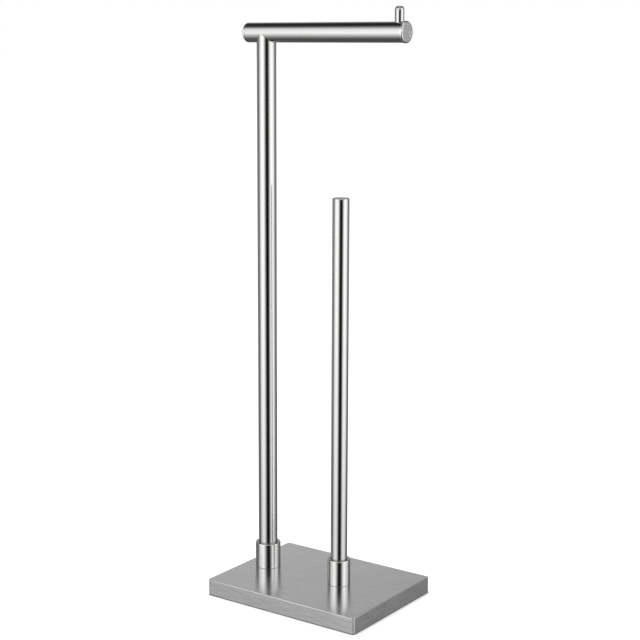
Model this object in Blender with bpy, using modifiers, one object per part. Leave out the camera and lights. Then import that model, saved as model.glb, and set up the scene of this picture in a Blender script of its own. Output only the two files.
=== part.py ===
"""Freestanding toilet paper holder, in metres, +Z up.

A tall pole carries a horizontal arm for the roll in use, and a shorter pole keeps the spare rolls.
Both poles stand in turned sockets on a weighted plate. The origin is on the floor under the middle
of the plate, and +X points along its long side, to the arm's free end.
"""

import math

import bmesh
import bpy
from mathutils import Matrix

# Fits shared by every piece
CLEARANCE = 0.0003
CUT_OVERRUN = 0.002

# Base: a pressed cover over a steel slab, on a non-slip pad
BASE_LENGTH = 0.203
BASE_WIDTH = 0.158
BASE_HEIGHT = 0.019
BASE_CORNER_RADIUS = 0.003
BASE_EDGE_RADIUS = 0.0015
COVER_WALL = 0.0008
SLAB_EDGE_RADIUS = 0.0009
PAD_THICKNESS = 0.0015
PAD_LIP_THICKNESS = 0.0006
PAD_ROOM = 0.0004
PAD_HOLE_DIAMETER = 0.018

# Poles: the main one carries the arm, the reserve one holds the spare rolls
MAIN_POLE_INSET = 0.028
MAIN_POLE_DIAMETER = 0.022
MAIN_POLE_WALL = 0.0012
POLE_SPACING = 0.1015
RESERVE_POLE_DIAMETER = 0.019
RESERVE_POLE_WALL = 0.0012
RESERVE_POLE_HEIGHT = 0.444
RESERVE_CAP_HEIGHT = 0.003
RESERVE_CAP_SPIGOT = 0.012
RESERVE_CAP_ROUNDING = 0.0010

# Sockets that the poles stand in, and the plugs in the poles' lower ends
SOCKET_WALL = 0.0034
SOCKET_FLOOR = 0.005
SOCKET_HEIGHT = 0.030
SOCKET_EDGE_RADIUS = 0.0006
SOCKET_MOUTH_CHAMFER = 0.0004
SOCKET_FOOT_CHAMFER = 0.0003
FOOT_PLUG_LENGTH = 0.025

# Cap screws and washers that hold the sockets from below
SCREW_DIAMETER = 0.006
SCREW_LENGTH = 0.030
SCREW_HEAD_DIAMETER = 0.010
SCREW_HEAD_HEIGHT = 0.006
SCREW_HEAD_RECESS = 0.0009
SCREW_KEY_SIZE = 0.005
SCREW_KEY_DEPTH = 0.003
SCREW_EDGE_CHAMFER = 0.0005
FLAT_WASHER_DIAMETER = 0.0125
FLAT_WASHER_THICKNESS = 0.0016
SPRING_WASHER_DIAMETER = 0.011
SPRING_WASHER_THICKNESS = 0.0016
SPRING_WASHER_SLOT = 0.001
SPRING_WASHER_SLANT = math.radians(20)
COUNTERBORE_ROOM = 0.0007

# Arm
ARM_AXIS_HEIGHT = 0.622
ARM_DIAMETER = 0.022
ARM_WALL = 0.0015
ARM_REAR_REACH = 0.026
ARM_FRONT_REACH = 0.184
REAR_CAP_HEAD = 0.003
REAR_CAP_SPIGOT = 0.008
REAR_CAP_ROUNDING = 0.0015
FLANGE_LIP = 0.0006
FLANGE_THICKNESS = 0.003
FLANGE_ROUNDING = 0.0018
FLANGE_CHAMFER = 0.0004
FRONT_SPIGOT_BEYOND_PIN = 0.004

# Stop pin that keeps the roll on the arm
STOP_PIN_DIAMETER = 0.010
STOP_PIN_RISE = 0.016
STOP_PIN_SETBACK = 0.010
STOP_PIN_ROUNDING = 0.0034
STOP_PIN_SINK = 0.006
STOP_PIN_SHANK_DIAMETER = 0.006
STOP_PIN_SHANK_LENGTH = 0.010

# Saddle joint between the main pole and the arm
COPE_CLEARANCE = 0.00012
ARM_BLOCK_LENGTH = 0.026
STUD_DIAMETER = 0.010
STUD_ABOVE_AXIS = 0.004
STUD_BELOW_ARM = 0.020
STUD_CHAMFER = 0.0008
STUD_GROOVE_DEPTH = 0.0015
TOP_PLUG_LENGTH = 0.026
GRUB_DIAMETER = 0.005
GRUB_TIP_DIAMETER = 0.002
GRUB_RECESS = 0.0003
GRUB_KEY_SIZE = 0.0025
GRUB_KEY_DEPTH = 0.002

# Facets round a turned piece, and along a rounded edge
WIDE_SIDES = 48
SMALL_SIDES = 24
HEX_SIDES = 6
EDGE_STEPS = 4
CORNER_STEPS = 6
SHARP_ANGLE = math.radians(35)

# Heights above the floor
COVER_BOTTOM = PAD_LIP_THICKNESS + CLEARANCE
SLAB_BOTTOM = PAD_THICKNESS + CLEARANCE
SLAB_TOP = BASE_HEIGHT - COVER_WALL - CLEARANCE
SOCKET_BOTTOM = BASE_HEIGHT + CLEARANCE
POLE_BOTTOM = SOCKET_BOTTOM + SOCKET_FLOOR + CLEARANCE
ARM_AXIS_Z = BASE_HEIGHT + ARM_AXIS_HEIGHT
HEAD_BOTTOM = SLAB_BOTTOM + SCREW_HEAD_RECESS
HEAD_TOP = HEAD_BOTTOM + SCREW_HEAD_HEIGHT
SPRING_WASHER_BOTTOM = HEAD_TOP + CLEARANCE
FLAT_WASHER_BOTTOM = SPRING_WASHER_BOTTOM + SPRING_WASHER_THICKNESS + CLEARANCE
COUNTERBORE_TOP = FLAT_WASHER_BOTTOM + FLAT_WASHER_THICKNESS + CLEARANCE
SCREW_END = HEAD_TOP + SCREW_LENGTH

# Places along the base
MAIN_POLE_X = MAIN_POLE_INSET - BASE_LENGTH / 2
RESERVE_POLE_X = MAIN_POLE_X + POLE_SPACING
ARM_REAR_X = MAIN_POLE_X - ARM_REAR_REACH
ARM_FRONT_X = MAIN_POLE_X + ARM_FRONT_REACH
ARM_TUBE_REAR_X = ARM_REAR_X + REAR_CAP_HEAD + CLEARANCE
ARM_TUBE_FRONT_X = ARM_FRONT_X - FLANGE_THICKNESS - CLEARANCE
STOP_PIN_X = ARM_FRONT_X - STOP_PIN_SETBACK

# Radii and margins that several pieces share
PAD_INSET = COVER_WALL + PAD_ROOM
MAIN_POLE_RADIUS = MAIN_POLE_DIAMETER / 2
MAIN_BORE_RADIUS = MAIN_POLE_RADIUS - MAIN_POLE_WALL
RESERVE_POLE_RADIUS = RESERVE_POLE_DIAMETER / 2
RESERVE_BORE_RADIUS = RESERVE_POLE_RADIUS - RESERVE_POLE_WALL
ARM_RADIUS = ARM_DIAMETER / 2
ARM_BORE_RADIUS = ARM_RADIUS - ARM_WALL
SCREW_HOLE_RADIUS = SCREW_DIAMETER / 2 + CLEARANCE
COUNTERBORE_RADIUS = FLAT_WASHER_DIAMETER / 2 + COUNTERBORE_ROOM
STUD_RADIUS = STUD_DIAMETER / 2
STUD_HOLE_RADIUS = STUD_RADIUS + CLEARANCE

# Joint heights, counted down from the arm's axis
TOP_PLUG_DROP = ARM_RADIUS + CLEARANCE
GRUB_DROP = TOP_PLUG_DROP + TOP_PLUG_LENGTH / 2
STUD_DROP = ARM_RADIUS + STUD_BELOW_ARM

# Finishes: colour, roughness and metallic value
BRUSHED_STEEL = ((0.70, 0.70, 0.69), 0.28, 1.0)
POLISHED_STEEL = ((0.76, 0.76, 0.75), 0.14, 1.0)
PLATE_STEEL = ((0.62, 0.63, 0.64), 0.34, 1.0)
TURNED_STEEL = ((0.64, 0.64, 0.64), 0.32, 1.0)
ZINC_STEEL = ((0.55, 0.56, 0.58), 0.38, 1.0)
SLAB_PAINT = ((0.06, 0.06, 0.07), 0.55, 0.0)
PAD_RUBBER = ((0.03, 0.03, 0.03), 0.85, 0.0)


def clear_scene():
    for obj in list(bpy.data.objects):
        bpy.data.objects.remove(obj, do_unlink=True)


def new_collection(name):
    collection = bpy.data.collections.new(name)
    bpy.context.scene.collection.children.link(collection)
    return collection


def new_material(name, finish):
    colour, roughness, metallic = finish
    material = bpy.data.materials.new(name)
    material.use_nodes = True
    shader = material.node_tree.nodes["Principled BSDF"]
    shader.inputs["Base Color"].default_value = (*colour, 1.0)
    shader.inputs["Roughness"].default_value = roughness
    shader.inputs["Metallic"].default_value = metallic
    material.diffuse_color = (*colour, 1.0)
    return material


class Bench:
    """Where finished parts and cutters are put."""

    def __init__(self):
        self.parts = new_collection("toilet_paper_holder")
        self.cutters = new_collection("cutters")
        self.root = bpy.data.objects.new("holder_root", None)
        self.parts.objects.link(self.root)

    def part(self, name, mesh, finish, location=(0, 0, 0), turn=(0, 0, 0)):
        obj = bpy.data.objects.new(name, mesh)
        obj.location = location
        obj.rotation_euler = turn
        obj.parent = self.root
        mesh.materials.append(new_material(f"{name}_finish", finish))
        self.parts.objects.link(obj)
        return obj

    def cutter(self, name, mesh, location=(0, 0, 0), turn=(0, 0, 0)):
        obj = bpy.data.objects.new(name, mesh)
        obj.location = location
        obj.rotation_euler = turn
        obj.hide_render = True
        obj.display_type = "WIRE"
        self.cutters.objects.link(obj)
        return obj


def mesh_of(name, bm):
    mesh = bpy.data.meshes.new(name)
    bm.to_mesh(mesh)
    bm.free()
    return mesh


def arc(radius, height, rounding, start, end):
    """Points of a rounded corner about (radius, height), angles from the outward direction."""
    steps = range(EDGE_STEPS + 1)
    angles = [start + (end - start) * step / EDGE_STEPS for step in steps]
    return [(radius + rounding * math.cos(a), height + rounding * math.sin(a)) for a in angles]


def rounded_shoulder(radius, height, rounding):
    """A top outer edge, from its flat face round to its side."""
    return arc(radius - rounding, height - rounding, rounding, math.pi / 2, 0)


def rounded_foot(radius, height, rounding):
    """A bottom outer edge, from its side round to its flat face."""
    return arc(radius - rounding, height + rounding, rounding, 0, -math.pi / 2)


def profile_mesh(name, points, closed=False):
    """A turned piece's half section. It runs down the outer side; a closed one has a bore."""
    bm = bmesh.new()
    verts = [bm.verts.new((radius, 0, height)) for radius, height in points]
    for first, second in zip(verts, verts[1:]):
        bm.edges.new((first, second))
    if closed:
        bm.edges.new((verts[-1], verts[0]))
    return mesh_of(name, bm)


def spin(obj, sides):
    """Turns the half section about the object's own Z axis."""
    screw = obj.modifiers.new("Spin", "SCREW")
    screw.axis = "Z"
    screw.angle = math.tau
    screw.steps = sides
    screw.render_steps = sides
    screw.use_merge_vertices = True
    screw.merge_threshold = 0.00001
    screw.use_smooth_shade = True
    return obj


def cylinder_mesh(name, radius, bottom, top, sides):
    bm = bmesh.new()
    bmesh.ops.create_cone(
        bm,
        cap_ends=True,
        segments=sides,
        radius1=radius,
        radius2=radius,
        depth=top - bottom,
        matrix=Matrix.Translation((0, 0, (top + bottom) / 2)),
    )
    return mesh_of(name, bm)


def box(length, width, bottom, top):
    bm = bmesh.new()
    place = Matrix.Translation((0, 0, (top + bottom) / 2))
    size = Matrix.Diagonal((length, width, top - bottom, 1))
    bmesh.ops.create_cube(bm, size=1, matrix=place @ size)
    return bm


def plate_mesh(name, length, width, bottom, top, corner, edge=0, open_below=False):
    """A flat plate with upright corners rounded, then its top edge, and no floor if it is a shell."""
    bm = box(length, width, bottom, top)
    middle = (top + bottom) / 2
    upright = [e for e in bm.edges if (e.verts[0].co.z - middle) * (e.verts[1].co.z - middle) < 0]
    bmesh.ops.bevel(bm, geom=upright, offset=corner, segments=CORNER_STEPS, profile=0.5, affect="EDGES")
    if edge:
        rim = [e for e in bm.edges if all(vert.co.z > middle for vert in e.verts)]
        bmesh.ops.bevel(bm, geom=rim, offset=edge, segments=EDGE_STEPS, profile=0.5, affect="EDGES")
    if open_below:
        floor = [face for face in bm.faces if all(vert.co.z < middle for vert in face.verts)]
        bmesh.ops.delete(bm, geom=floor, context="FACES_ONLY")
    return mesh_of(name, bm)


def cut(obj, *cutters):
    for cutter in cutters:
        boolean = obj.modifiers.new(f"Cut {cutter.name}", "BOOLEAN")
        boolean.operation = "DIFFERENCE"
        boolean.object = cutter
    return obj


def plain_rod(radius, bottom, top, chamfer=0):
    """Half section of a solid rod, with a chamfer at both ends where one is given."""
    if not chamfer:
        return [(0, top), (radius, top), (radius, bottom), (0, bottom)]
    upper = [(0, top), (radius - chamfer, top), (radius, top - chamfer)]
    lower = [(radius, bottom + chamfer), (radius - chamfer, bottom), (0, bottom)]
    return upper + lower


def plain_ring(outer, inner, bottom, top):
    """Half section of a tube, a sleeve or a washer."""
    return [(outer, top), (outer, bottom), (inner, bottom), (inner, top)]


class Foot:
    """What one pole stands on and is held by, from the screw head up to the plug in the pole."""

    def __init__(self, bench, name, x, pole_radius, bore_radius):
        self.bench = bench
        self.name = name
        self.x = x
        self.pole_radius = pole_radius
        self.bore_radius = bore_radius
        self.bolt_hole = bench.cutter(
            f"{name}_bolt_hole",
            cylinder_mesh(
                f"{name}_bolt_hole",
                SCREW_HOLE_RADIUS,
                COUNTERBORE_TOP - CUT_OVERRUN,
                SCREW_END + CLEARANCE,
                SMALL_SIDES,
            ),
            (x, 0, 0),
        )

    def socket(self):
        """The collar on the plate: a turned cup that the pole drops into."""
        outer = self.pole_radius + CLEARANCE + SOCKET_WALL
        bore = self.pole_radius + CLEARANCE
        top = SOCKET_HEIGHT - CLEARANCE
        points = [
            (bore + SOCKET_MOUTH_CHAMFER, top),
            *rounded_shoulder(outer, top, SOCKET_EDGE_RADIUS),
            (outer, SOCKET_FOOT_CHAMFER),
            (outer - SOCKET_FOOT_CHAMFER, 0),
            (SCREW_HOLE_RADIUS, 0),
            (SCREW_HOLE_RADIUS, SOCKET_FLOOR),
            (bore, SOCKET_FLOOR),
            (bore, top - SOCKET_MOUTH_CHAMFER),
        ]
        mesh = profile_mesh(f"{self.name}_socket", points, closed=True)
        place = (self.x, 0, SOCKET_BOTTOM)
        return spin(self.bench.part(f"{self.name}_socket", mesh, POLISHED_STEEL, place), WIDE_SIDES)

    def plug(self):
        """Pressed into the pole's lower end, with a blind hole for the screw's thread."""
        points = plain_rod(self.bore_radius - CLEARANCE, 0, FOOT_PLUG_LENGTH, SCREW_EDGE_CHAMFER)
        mesh = profile_mesh(f"{self.name}_foot_plug", points)
        place = (self.x, 0, POLE_BOTTOM)
        plug = self.bench.part(f"{self.name}_foot_plug", mesh, ZINC_STEEL, place)
        return cut(spin(plug, WIDE_SIDES), self.bolt_hole)

    def screw(self):
        """A cap screw, head down in the slab."""
        head = SCREW_HEAD_DIAMETER / 2
        shank = SCREW_DIAMETER / 2
        end = SCREW_HEAD_HEIGHT + SCREW_LENGTH
        points = [
            (0, end),
            (shank - SCREW_EDGE_CHAMFER, end),
            (shank, end - SCREW_EDGE_CHAMFER),
            (shank, SCREW_HEAD_HEIGHT),
            (head, SCREW_HEAD_HEIGHT),
            (head, SCREW_EDGE_CHAMFER),
            (head - SCREW_EDGE_CHAMFER, 0),
            (0, 0),
        ]
        mesh = profile_mesh(f"{self.name}_base_screw", points)
        place = (self.x, 0, HEAD_BOTTOM)
        screw = self.bench.part(f"{self.name}_base_screw", mesh, ZINC_STEEL, place)
        key = cylinder_mesh(
            f"{self.name}_key_hole", SCREW_KEY_SIZE / math.sqrt(3), -CUT_OVERRUN, SCREW_KEY_DEPTH, HEX_SIDES
        )
        return cut(spin(screw, SMALL_SIDES), self.bench.cutter(f"{self.name}_key_hole", key, place))

    def flat_washer(self):
        points = plain_ring(FLAT_WASHER_DIAMETER / 2, SCREW_HOLE_RADIUS, 0, FLAT_WASHER_THICKNESS)
        mesh = profile_mesh(f"{self.name}_flat_washer", points, closed=True)
        place = (self.x, 0, FLAT_WASHER_BOTTOM)
        return spin(self.bench.part(f"{self.name}_flat_washer", mesh, ZINC_STEEL, place), SMALL_SIDES)

    def spring_washer(self):
        """A split ring, its ends cut on a slant and pressed level by the screw."""
        outer = SPRING_WASHER_DIAMETER / 2
        middle = SPRING_WASHER_BOTTOM + SPRING_WASHER_THICKNESS / 2
        points = plain_ring(outer, SCREW_HOLE_RADIUS, 0, SPRING_WASHER_THICKNESS)
        mesh = profile_mesh(f"{self.name}_spring_washer", points, closed=True)
        place = (self.x, 0, SPRING_WASHER_BOTTOM)
        washer = self.bench.part(f"{self.name}_spring_washer", mesh, ZINC_STEEL, place)
        slot = self.bench.cutter(
            f"{self.name}_washer_slot",
            mesh_of(f"{self.name}_washer_slot", box(outer, SPRING_WASHER_SLOT, -outer, outer)),
            (self.x + (SCREW_HOLE_RADIUS + outer) / 2, 0, middle),
            (SPRING_WASHER_SLANT, 0, 0),
        )
        return cut(spin(washer, SMALL_SIDES), slot)

    def counterbore(self):
        """Takes the screw's head and washers, from under the pad up into the slab."""
        mesh = cylinder_mesh(
            f"{self.name}_counterbore", COUNTERBORE_RADIUS, -CUT_OVERRUN, COUNTERBORE_TOP, SMALL_SIDES
        )
        return self.bench.cutter(f"{self.name}_counterbore", mesh, (self.x, 0, 0))

    def pad_hole(self):
        top = SLAB_BOTTOM + CUT_OVERRUN
        mesh = cylinder_mesh(f"{self.name}_pad_hole", PAD_HOLE_DIAMETER / 2, -CUT_OVERRUN, top, SMALL_SIDES)
        return self.bench.cutter(f"{self.name}_pad_hole", mesh, (self.x, 0, 0))


def make_pad(bench, feet):
    """The non-slip pad: inside the cover's rim, with a thin lip under it, and a way in for each key."""
    length = BASE_LENGTH - 2 * CLEARANCE
    width = BASE_WIDTH - 2 * CLEARANCE
    corner = max(BASE_CORNER_RADIUS - CLEARANCE, CLEARANCE)
    mesh = plate_mesh("base_pad", length, width, 0, PAD_LIP_THICKNESS, corner)
    bm = bmesh.new()
    bm.from_mesh(mesh)
    top = [face for face in bm.faces if all(vert.co.z > PAD_LIP_THICKNESS / 2 for vert in face.verts)]
    bmesh.ops.inset_region(bm, faces=top, thickness=PAD_INSET - CLEARANCE, use_even_offset=True)
    raised = bmesh.ops.extrude_face_region(bm, geom=top)["geom"]
    bmesh.ops.delete(bm, geom=top, context="FACES_ONLY")
    verts = [item for item in raised if isinstance(item, bmesh.types.BMVert)]
    bmesh.ops.translate(bm, verts=verts, vec=(0, 0, PAD_THICKNESS - PAD_LIP_THICKNESS))
    bm.to_mesh(mesh)
    bm.free()
    pad = bench.part("base_pad", mesh, PAD_RUBBER)
    return cut(pad, *[foot.pad_hole() for foot in feet])


def make_slab(bench, feet):
    """The weight: a steel slab that fills the cover."""
    margin = 2 * (COVER_WALL + CLEARANCE)
    corner = max(BASE_CORNER_RADIUS - COVER_WALL - CLEARANCE, CLEARANCE)
    mesh = plate_mesh(
        "base_weight",
        BASE_LENGTH - margin,
        BASE_WIDTH - margin,
        SLAB_BOTTOM,
        SLAB_TOP,
        corner,
        SLAB_EDGE_RADIUS,
    )
    slab = bench.part("base_weight", mesh, SLAB_PAINT)
    return cut(slab, *[foot.counterbore() for foot in feet], *[foot.bolt_hole for foot in feet])


def make_cover(bench, feet):
    """The pressed cover: open below, its rim on the pad's lip, with a hole under each socket."""
    mesh = plate_mesh(
        "base_cover",
        BASE_LENGTH,
        BASE_WIDTH,
        COVER_BOTTOM,
        BASE_HEIGHT,
        BASE_CORNER_RADIUS,
        BASE_EDGE_RADIUS,
        open_below=True,
    )
    cover = bench.part("base_cover", mesh, PLATE_STEEL)
    wall = cover.modifiers.new("Wall", "SOLIDIFY")
    wall.thickness = COVER_WALL
    wall.offset = -1
    wall.use_even_offset = True
    return cut(cover, *[foot.bolt_hole for foot in feet])


def make_main_pole(bench):
    """A tube whose top is coped to fit round the arm."""
    top = ARM_AXIS_Z - POLE_BOTTOM
    points = plain_ring(MAIN_POLE_RADIUS, MAIN_BORE_RADIUS, 0, top)
    mesh = profile_mesh("main_pole", points, closed=True)
    pole = bench.part("main_pole", mesh, BRUSHED_STEEL, (MAIN_POLE_X, 0, POLE_BOTTOM))
    reach = MAIN_POLE_RADIUS + CUT_OVERRUN
    saddle = bench.cutter(
        "saddle_cut",
        cylinder_mesh("saddle_cut", ARM_RADIUS + COPE_CLEARANCE, -reach, reach, WIDE_SIDES),
        (MAIN_POLE_X, 0, ARM_AXIS_Z),
        (0, math.pi / 2, 0),
    )
    return cut(spin(pole, WIDE_SIDES), saddle)


def make_reserve_pole(bench):
    top = BASE_HEIGHT + RESERVE_POLE_HEIGHT - RESERVE_CAP_HEIGHT - CLEARANCE
    points = plain_ring(RESERVE_POLE_RADIUS, RESERVE_BORE_RADIUS, 0, top - POLE_BOTTOM)
    mesh = profile_mesh("reserve_pole", points, closed=True)
    place = (RESERVE_POLE_X, 0, POLE_BOTTOM)
    return spin(bench.part("reserve_pole", mesh, BRUSHED_STEEL, place), WIDE_SIDES)


def make_reserve_cap(bench):
    """Closes the reserve pole: a head flush with the tube, and a spigot inside it."""
    spigot = RESERVE_BORE_RADIUS - CLEARANCE
    points = [
        (0, RESERVE_CAP_HEIGHT),
        *rounded_shoulder(RESERVE_POLE_RADIUS, RESERVE_CAP_HEIGHT, RESERVE_CAP_ROUNDING),
        (RESERVE_POLE_RADIUS, 0),
        (spigot, 0),
        (spigot, -RESERVE_CAP_SPIGOT),
        (0, -RESERVE_CAP_SPIGOT),
    ]
    mesh = profile_mesh("reserve_pole_cap", points)
    place = (RESERVE_POLE_X, 0, BASE_HEIGHT + RESERVE_POLE_HEIGHT - RESERVE_CAP_HEIGHT)
    return spin(bench.part("reserve_pole_cap", mesh, TURNED_STEEL, place), WIDE_SIDES)


def along_arm(bench, name, points, finish, x, closed=False):
    """A turned piece on the arm's axis, its own +Z turned to the holder's +X."""
    mesh = profile_mesh(name, points, closed)
    place = (x, 0, ARM_AXIS_Z)
    return spin(bench.part(name, mesh, finish, place, (0, math.pi / 2, 0)), WIDE_SIDES)


def make_stud_hole(bench):
    """Runs from under the arm up into the block inside it."""
    mesh = cylinder_mesh(
        "stud_hole", STUD_HOLE_RADIUS, -ARM_RADIUS - CUT_OVERRUN, STUD_ABOVE_AXIS + CLEARANCE, SMALL_SIDES
    )
    return bench.cutter("stud_hole", mesh, (MAIN_POLE_X, 0, ARM_AXIS_Z))


def make_pin_hole(bench):
    """The stepped hole for the stop pin, through the arm's upper wall and into the cap's spigot."""
    body = STOP_PIN_DIAMETER / 2 + CLEARANCE
    shank = STOP_PIN_SHANK_DIAMETER / 2 + CLEARANCE
    seat = ARM_RADIUS - STOP_PIN_SINK - CLEARANCE
    top = ARM_RADIUS + CUT_OVERRUN
    end = seat - STOP_PIN_SHANK_LENGTH - CLEARANCE
    points = [(0, top), (body, top), (body, seat), (shank, seat), (shank, end), (0, end)]
    mesh = profile_mesh("stop_pin_hole", points)
    return spin(bench.cutter("stop_pin_hole", mesh, (STOP_PIN_X, 0, ARM_AXIS_Z)), SMALL_SIDES)


def make_arm_tube(bench, stud_hole, pin_hole):
    points = plain_ring(ARM_RADIUS, ARM_BORE_RADIUS, 0, ARM_TUBE_FRONT_X - ARM_TUBE_REAR_X)
    tube = along_arm(bench, "arm_tube", points, BRUSHED_STEEL, ARM_TUBE_REAR_X, closed=True)
    return cut(tube, stud_hole, pin_hole)


def make_arm_block(bench, stud_hole):
    """A slug inside the arm, over the pole, that the stud is screwed into."""
    half = ARM_BLOCK_LENGTH / 2
    points = plain_rod(ARM_BORE_RADIUS - CLEARANCE, -half, half, SCREW_EDGE_CHAMFER)
    block = along_arm(bench, "arm_block", points, ZINC_STEEL, MAIN_POLE_X)
    return cut(block, stud_hole)


def make_rear_cap(bench):
    """Closes the arm's rear end: a round-edged head flush with the tube, and a spigot inside it."""
    spigot = ARM_BORE_RADIUS - CLEARANCE
    end = REAR_CAP_HEAD + REAR_CAP_SPIGOT
    points = [
        (0, end),
        (spigot, end),
        (spigot, REAR_CAP_HEAD),
        (ARM_RADIUS, REAR_CAP_HEAD),
        *rounded_foot(ARM_RADIUS, 0, REAR_CAP_ROUNDING),
        (0, 0),
    ]
    return along_arm(bench, "arm_rear_cap", points, TURNED_STEEL, ARM_REAR_X)


def make_front_cap(bench, pin_hole):
    """The flanged plug at the arm's free end, locked by the stop pin."""
    flange = ARM_RADIUS + FLANGE_LIP
    spigot = ARM_BORE_RADIUS - CLEARANCE
    pin_depth = STOP_PIN_SETBACK + STOP_PIN_DIAMETER / 2 + FRONT_SPIGOT_BEYOND_PIN
    points = [
        (0, 0),
        *rounded_shoulder(flange, 0, FLANGE_ROUNDING),
        (flange, -FLANGE_THICKNESS + FLANGE_CHAMFER),
        (flange - FLANGE_CHAMFER, -FLANGE_THICKNESS),
        (spigot, -FLANGE_THICKNESS),
        (spigot, -pin_depth),
        (0, -pin_depth),
    ]
    return cut(along_arm(bench, "arm_front_cap", points, TURNED_STEEL, ARM_FRONT_X), pin_hole)


def make_stop_pin(bench):
    """A round-topped pin whose thinner shank holds it, and the cap, in the arm."""
    body = STOP_PIN_DIAMETER / 2
    shank = STOP_PIN_SHANK_DIAMETER / 2
    top = STOP_PIN_SINK + STOP_PIN_RISE
    points = [
        (0, top),
        *rounded_shoulder(body, top, STOP_PIN_ROUNDING),
        (body, 0),
        (shank, 0),
        (shank, SCREW_EDGE_CHAMFER - STOP_PIN_SHANK_LENGTH),
        (shank - SCREW_EDGE_CHAMFER, -STOP_PIN_SHANK_LENGTH),
        (0, -STOP_PIN_SHANK_LENGTH),
    ]
    mesh = profile_mesh("stop_pin", points)
    place = (STOP_PIN_X, 0, ARM_AXIS_Z + ARM_RADIUS - STOP_PIN_SINK)
    return spin(bench.part("stop_pin", mesh, POLISHED_STEEL, place), SMALL_SIDES)


def make_arm_stud(bench):
    """Screwed into the arm's block, with a turned groove for the grub screw's tip."""
    half_tip = GRUB_TIP_DIAMETER / 2 + CLEARANCE
    half_mouth = half_tip + STUD_GROOVE_DEPTH
    floor = STUD_RADIUS - STUD_GROOVE_DEPTH
    points = [
        (0, STUD_ABOVE_AXIS),
        (STUD_RADIUS - STUD_CHAMFER, STUD_ABOVE_AXIS),
        (STUD_RADIUS, STUD_ABOVE_AXIS - STUD_CHAMFER),
        (STUD_RADIUS, half_mouth - GRUB_DROP),
        (floor, half_tip - GRUB_DROP),
        (floor, -half_tip - GRUB_DROP),
        (STUD_RADIUS, -half_mouth - GRUB_DROP),
        (STUD_RADIUS, STUD_CHAMFER - STUD_DROP),
        (STUD_RADIUS - STUD_CHAMFER, -STUD_DROP),
        (0, -STUD_DROP),
    ]
    mesh = profile_mesh("arm_stud", points)
    return spin(bench.part("arm_stud", mesh, ZINC_STEEL, (MAIN_POLE_X, 0, ARM_AXIS_Z)), SMALL_SIDES)


def make_top_plug(bench, grub_hole):
    """A sleeve pressed into the pole's top, which the stud slides into."""
    points = plain_ring(MAIN_BORE_RADIUS - CLEARANCE, STUD_HOLE_RADIUS, -TOP_PLUG_LENGTH, 0)
    mesh = profile_mesh("pole_top_plug", points, closed=True)
    place = (MAIN_POLE_X, 0, ARM_AXIS_Z - TOP_PLUG_DROP)
    return cut(spin(bench.part("pole_top_plug", mesh, ZINC_STEEL, place), WIDE_SIDES), grub_hole)


def make_grub_hole(bench):
    """Drilled from behind, through the pole and the sleeve, as far as the stud's axis."""
    mesh = cylinder_mesh(
        "grub_hole", GRUB_DIAMETER / 2 + CLEARANCE, 0, MAIN_POLE_RADIUS + CUT_OVERRUN, SMALL_SIDES
    )
    place = (MAIN_POLE_X, 0, ARM_AXIS_Z - GRUB_DROP)
    return bench.cutter("grub_hole", mesh, place, (-math.pi / 2, 0, 0))


def make_grub_screw(bench):
    """Behind the pole, its coned tip in the stud's groove."""
    radius = GRUB_DIAMETER / 2
    tip_radius = GRUB_TIP_DIAMETER / 2
    tip = STUD_RADIUS - STUD_GROOVE_DEPTH + CLEARANCE
    outer = MAIN_POLE_RADIUS - GRUB_RECESS
    points = [(0, outer), (radius, outer), (radius, tip + radius - tip_radius), (tip_radius, tip), (0, tip)]
    mesh = profile_mesh("joint_grub_screw", points)
    place = (MAIN_POLE_X, 0, ARM_AXIS_Z - GRUB_DROP)
    back = (-math.pi / 2, 0, 0)
    grub = spin(bench.part("joint_grub_screw", mesh, ZINC_STEEL, place, back), SMALL_SIDES)
    key = cylinder_mesh(
        "grub_key_hole", GRUB_KEY_SIZE / math.sqrt(3), outer - GRUB_KEY_DEPTH, outer + CUT_OVERRUN, HEX_SIDES
    )
    return cut(grub, bench.cutter("grub_key_hole", key, place, back))


def keep_shape(collection):
    """Applies each part's modifiers, then shades its round faces smooth between sharp edges."""
    bpy.context.view_layer.update()
    graph = bpy.context.evaluated_depsgraph_get()
    parts = [obj for obj in collection.objects if obj.type == "MESH"]
    meshes = [bpy.data.meshes.new_from_object(obj.evaluated_get(graph)) for obj in parts]
    for obj, mesh in zip(parts, meshes):
        mesh.shade_smooth()
        mesh.set_sharp_from_angle(angle=SHARP_ANGLE)
        obj.modifiers.clear()
        obj.data = mesh
        mesh.name = obj.name


def main():
    clear_scene()
    bench = Bench()
    feet = [
        Foot(bench, "main", MAIN_POLE_X, MAIN_POLE_RADIUS, MAIN_BORE_RADIUS),
        Foot(bench, "reserve", RESERVE_POLE_X, RESERVE_POLE_RADIUS, RESERVE_BORE_RADIUS),
    ]
    for foot in feet:
        foot.socket()
        foot.plug()
        foot.screw()
        foot.flat_washer()
        foot.spring_washer()
    make_pad(bench, feet)
    make_slab(bench, feet)
    make_cover(bench, feet)
    stud_hole = make_stud_hole(bench)
    pin_hole = make_pin_hole(bench)
    grub_hole = make_grub_hole(bench)
    cut(make_main_pole(bench), grub_hole)
    make_reserve_pole(bench)
    make_reserve_cap(bench)
    make_arm_tube(bench, stud_hole, pin_hole)
    make_arm_block(bench, stud_hole)
    make_rear_cap(bench)
    make_front_cap(bench, pin_hole)
    make_stop_pin(bench)
    make_arm_stud(bench)
    make_top_plug(bench, grub_hole)
    make_grub_screw(bench)
    keep_shape(bench.parts)


main()
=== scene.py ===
import math

import bmesh
import bpy
from mathutils import Matrix, Vector


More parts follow.
